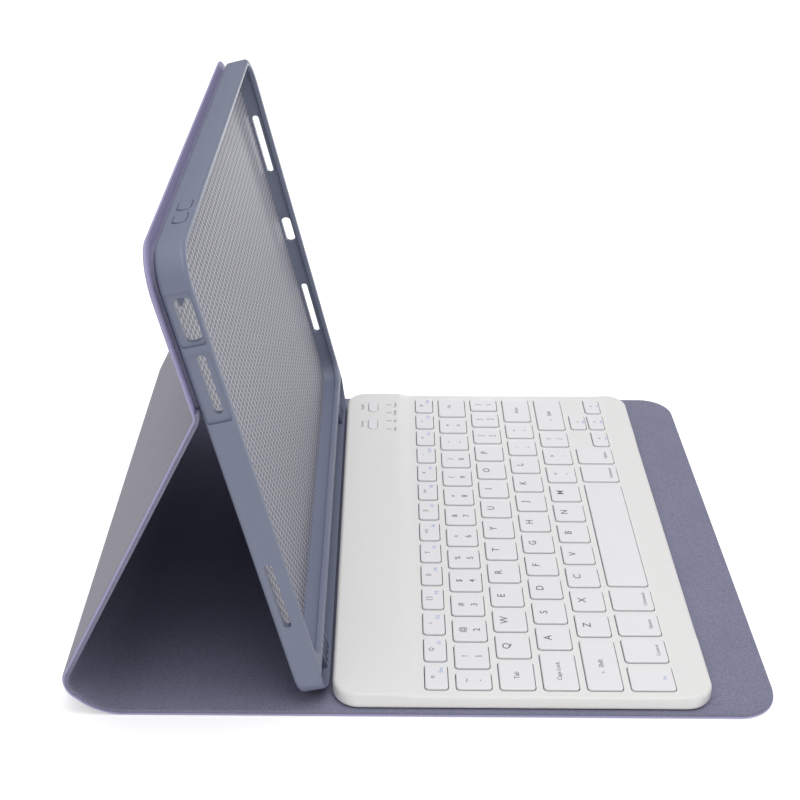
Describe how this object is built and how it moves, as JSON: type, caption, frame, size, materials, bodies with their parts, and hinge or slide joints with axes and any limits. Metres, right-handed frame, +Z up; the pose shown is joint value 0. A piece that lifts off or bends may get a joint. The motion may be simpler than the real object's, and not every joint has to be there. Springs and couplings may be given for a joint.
{
  "type": "tablet keyboard case",
  "caption": "Folding tablet case: soft tray held up by a folio cover that bends into a stand, with a thin wireless keyboard lying on the front flap.",
  "frame": {"origin": "centre of the bounding box's bottom face, on the surface that the cover lies on", "axes": "+X along the key rows to the right, +Y from the user to the rear, +Z up"},
  "size_m": [0.257, 0.283, 0.1963],
  "materials": {
    "cover_skin": "fine-grained grey-lilac polyurethane skin",
    "cover_lining": "brushed micro-suede lining",
    "cover_board": "pressed fibre board",
    "magnet": "nickel-plated magnet",
    "adhesive": "double-sided adhesive film",
    "tray_tpu": "soft matte moulded polyurethane",
    "case_white": "warm white moulded ABS",
    "key_white": "matte white key cap",
    "steel": "stamped steel",
    "membrane": "printed membrane",
    "silicone": "silicone rubber dome",
    "scissor_plastic": "moulded acetal",
    "circuit_board": "glass-epoxy circuit board",
    "battery_pouch": "wrapped pouch cell",
    "lead": "PVC-insulated lead",
    "switch_black": "moulded nylon",
    "led": "surface-mount lamp",
    "lens": "translucent light pipe",
    "foot_rubber": "soft rubber foot"
  },
  "bodies": {
    "front_cover": {"front_cover_skin": "cover_skin", "front_cover_board": "cover_board", "front_cover_lining": "cover_lining", "cover_magnets": "magnet", "flap_magnets": "magnet"},
    "spine": {"spine_skin": "cover_skin", "spine_board": "cover_board", "spine_lining": "cover_lining"},
    "stand_panel": {"stand_panel_skin": "cover_skin", "stand_panel_board": "cover_board", "stand_panel_lining": "cover_lining"},
    "tray": {"back_panel_skin": "cover_skin", "back_panel_board": "cover_board", "back_panel_lining": "cover_lining", "tray_adhesive": "adhesive", "tablet_tray": "tray_tpu"},
    "volume_up": {"volume_up_button": "tray_tpu"},
    "volume_down": {"volume_down_button": "tray_tpu"},
    "keyboard": {"keyboard_bottom_case": "case_white", "keyboard_top_case": "case_white", "support_plate": "steel", "membrane_circuit": "membrane", "rubber_domes": "silicone", "scissor_frames": "scissor_plastic", "circuit_board": "circuit_board", "battery": "battery_pouch", "battery_lead": "lead", "charging_socket": "steel", "tact_switches": "switch_black", "indicator_leds": "led", "indicator_lenses": "lens", "keyboard_magnets": "magnet", "case_screws": "steel", "rubber_feet": "foot_rubber"},
    "power": {"power_button": "case_white"},
    "connect": {"connect_button": "case_white"},
    "function_keys": {"function_keys": "key_white"},
    "number_keys": {"number_keys": "key_white"},
    "upper_letter_keys": {"upper_letter_keys": "key_white"},
    "home_letter_keys": {"home_letter_keys": "key_white"},
    "lower_letter_keys": {"lower_letter_keys": "key_white"},
    "grave_key": {"grave_key": "key_white"},
    "backspace_key": {"backspace_key": "key_white"},
    "tab_key": {"tab_key": "key_white"},
    "backslash_key": {"backslash_key": "key_white"},
    "caps_lock_key": {"caps_lock_key": "key_white"},
    "enter_key": {"enter_key": "key_white"},
    "left_shift_key": {"left_shift_key": "key_white"},
    "right_shift_key": {"right_shift_key": "key_white"},
    "fn_key": {"fn_key": "key_white"},
    "control_key": {"control_key": "key_white"},
    "left_option_key": {"left_option_key": "key_white"},
    "left_command_key": {"left_command_key": "key_white"},
    "space_bar": {"space_bar": "key_white"},
    "right_command_key": {"right_command_key": "key_white"},
    "right_option_key": {"right_option_key": "key_white"},
    "left_arrow_key": {"left_arrow_key": "key_white"},
    "down_arrow_key": {"down_arrow_key": "key_white"},
    "up_arrow_key": {"up_arrow_key": "key_white"},
    "right_arrow_key": {"right_arrow_key": "key_white"}
  },
  "joints": [
    {"name": "spine_fold", "type": "hinge", "parent": "front_cover", "child": "spine", "pos_m": [0, 0.12651, 0.0013], "axis": [-1, 0, 0], "range_deg": [0, 40]},
    {"name": "back_fold", "type": "hinge", "parent": "spine", "child": "stand_panel", "pos_m": [0, 0.141, 0.01435], "axis": [-1, 0, 0], "range_deg": [0, 36]},
    {"name": "stand_fold", "type": "hinge", "parent": "stand_panel", "child": "tray", "pos_m": [0, 0.08045, 0.13389], "axis": [-1, 0, 0], "range_deg": [-36.5, 0.5]},
    {"name": "keyboard_lift", "type": "slide", "parent": "front_cover", "child": "keyboard", "axis": [0, 0, 1], "range_m": [0, 0.04]},
    {"name": "volume_up_press", "type": "slide", "parent": "tray", "child": "volume_up", "axis": [0, -0.2351, -0.972], "range_m": [0, 0.0004], "stiffness_N_per_m": 600},
    {"name": "volume_down_press", "type": "slide", "parent": "tray", "child": "volume_down", "axis": [0, -0.2351, -0.972], "range_m": [0, 0.0004], "stiffness_N_per_m": 600},
    {"name": "power_press", "type": "slide", "parent": "keyboard", "child": "power", "axis": [0, 0, -1], "range_m": [0, 0.0005], "stiffness_N_per_m": 600},
    {"name": "connect_press", "type": "slide", "parent": "keyboard", "child": "connect", "axis": [0, 0, -1], "range_m": [0, 0.0005], "stiffness_N_per_m": 600},
    {"name": "function_keys_press", "type": "slide", "parent": "keyboard", "child": "function_keys", "axis": [0, 0, -1], "range_m": [0, 0.0015], "stiffness_N_per_m": 300, "deforming": ["rubber_domes"]},
    {"name": "number_keys_press", "type": "slide", "parent": "keyboard", "child": "number_keys", "axis": [0, 0, -1], "range_m": [0, 0.0015], "stiffness_N_per_m": 300},
    {"name": "upper_letter_keys_press", "type": "slide", "parent": "keyboard", "child": "upper_letter_keys", "axis": [0, 0, -1], "range_m": [0, 0.0015], "stiffness_N_per_m": 300},
    {"name": "home_letter_keys_press", "type": "slide", "parent": "keyboard", "child": "home_letter_keys", "axis": [0, 0, -1], "range_m": [0, 0.0015], "stiffness_N_per_m": 300},
    {"name": "lower_letter_keys_press", "type": "slide", "parent": "keyboard", "child": "lower_letter_keys", "axis": [0, 0, -1], "range_m": [0, 0.0015], "stiffness_N_per_m": 300},
    {"name": "grave_key_press", "type": "slide", "parent": "keyboard", "child": "grave_key", "axis": [0, 0, -1], "range_m": [0, 0.0015], "stiffness_N_per_m": 300},
    {"name": "backspace_key_press", "type": "slide", "parent": "keyboard", "child": "backspace_key", "axis": [0, 0, -1], "range_m": [0, 0.0015], "stiffness_N_per_m": 300},
    {"name": "tab_key_press", "type": "slide", "parent": "keyboard", "child": "tab_key", "axis": [0, 0, -1], "range_m": [0, 0.0015], "stiffness_N_per_m": 300},
    {"name": "backslash_key_press", "type": "slide", "parent": "keyboard", "child": "backslash_key", "axis": [0, 0, -1], "range_m": [0, 0.0015], "stiffness_N_per_m": 300},
    {"name": "caps_lock_key_press", "type": "slide", "parent": "keyboard", "child": "caps_lock_key", "axis": [0, 0, -1], "range_m": [0, 0.0015], "stiffness_N_per_m": 300},
    {"name": "enter_key_press", "type": "slide", "parent": "keyboard", "child": "enter_key", "axis": [0, 0, -1], "range_m": [0, 0.0015], "stiffness_N_per_m": 300},
    {"name": "left_shift_key_press", "type": "slide", "parent": "keyboard", "child": "left_shift_key", "axis": [0, 0, -1], "range_m": [0, 0.0015], "stiffness_N_per_m": 300},
    {"name": "right_shift_key_press", "type": "slide", "parent": "keyboard", "child": "right_shift_key", "axis": [0, 0, -1], "range_m": [0, 0.0015], "stiffness_N_per_m": 300},
    {"name": "fn_key_press", "type": "slide", "parent": "keyboard", "child": "fn_key", "axis": [0, 0, -1], "range_m": [0, 0.0015], "stiffness_N_per_m": 300},
    {"name": "control_key_press", "type": "slide", "parent": "keyboard", "child": "control_key", "axis": [0, 0, -1], "range_m": [0, 0.0015], "stiffness_N_per_m": 300},
    {"name": "left_option_key_press", "type": "slide", "parent": "keyboard", "child": "left_option_key", "axis": [0, 0, -1], "range_m": [0, 0.0015], "stiffness_N_per_m": 300},
    {"name": "left_command_key_press", "type": "slide", "parent": "keyboard", "child": "left_command_key", "axis": [0, 0, -1], "range_m": [0, 0.0015], "stiffness_N_per_m": 300},
    {"name": "space_bar_press", "type": "slide", "parent": "keyboard", "child": "space_bar", "axis": [0, 0, -1], "range_m": [0, 0.0015], "stiffness_N_per_m": 300},
    {"name": "right_command_key_press", "type": "slide", "parent": "keyboard", "child": "right_command_key", "axis": [0, 0, -1], "range_m": [0, 0.0015], "stiffness_N_per_m": 300},
    {"name": "right_option_key_press", "type": "slide", "parent": "keyboard", "child": "right_option_key", "axis": [0, 0, -1], "range_m": [0, 0.0015], "stiffness_N_per_m": 300},
    {"name": "left_arrow_key_press", "type": "slide", "parent": "keyboard", "child": "left_arrow_key", "axis": [0, 0, -1], "range_m": [0, 0.0015], "stiffness_N_per_m": 300},
    {"name": "down_arrow_key_press", "type": "slide", "parent": "keyboard", "child": "down_arrow_key", "axis": [0, 0, -1], "range_m": [0, 0.0015], "stiffness_N_per_m": 300},
    {"name": "up_arrow_key_press", "type": "slide", "parent": "keyboard", "child": "up_arrow_key", "axis": [0, 0, -1], "range_m": [0, 0.0015], "stiffness_N_per_m": 300},
    {"name": "right_arrow_key_press", "type": "slide", "parent": "keyboard", "child": "right_arrow_key", "axis": [0, 0, -1], "range_m": [0, 0.0015], "stiffness_N_per_m": 300}
  ],
  "couplings": [
    {"joint": "stand_fold", "follows": "back_fold", "ratio": -1}
  ]
}
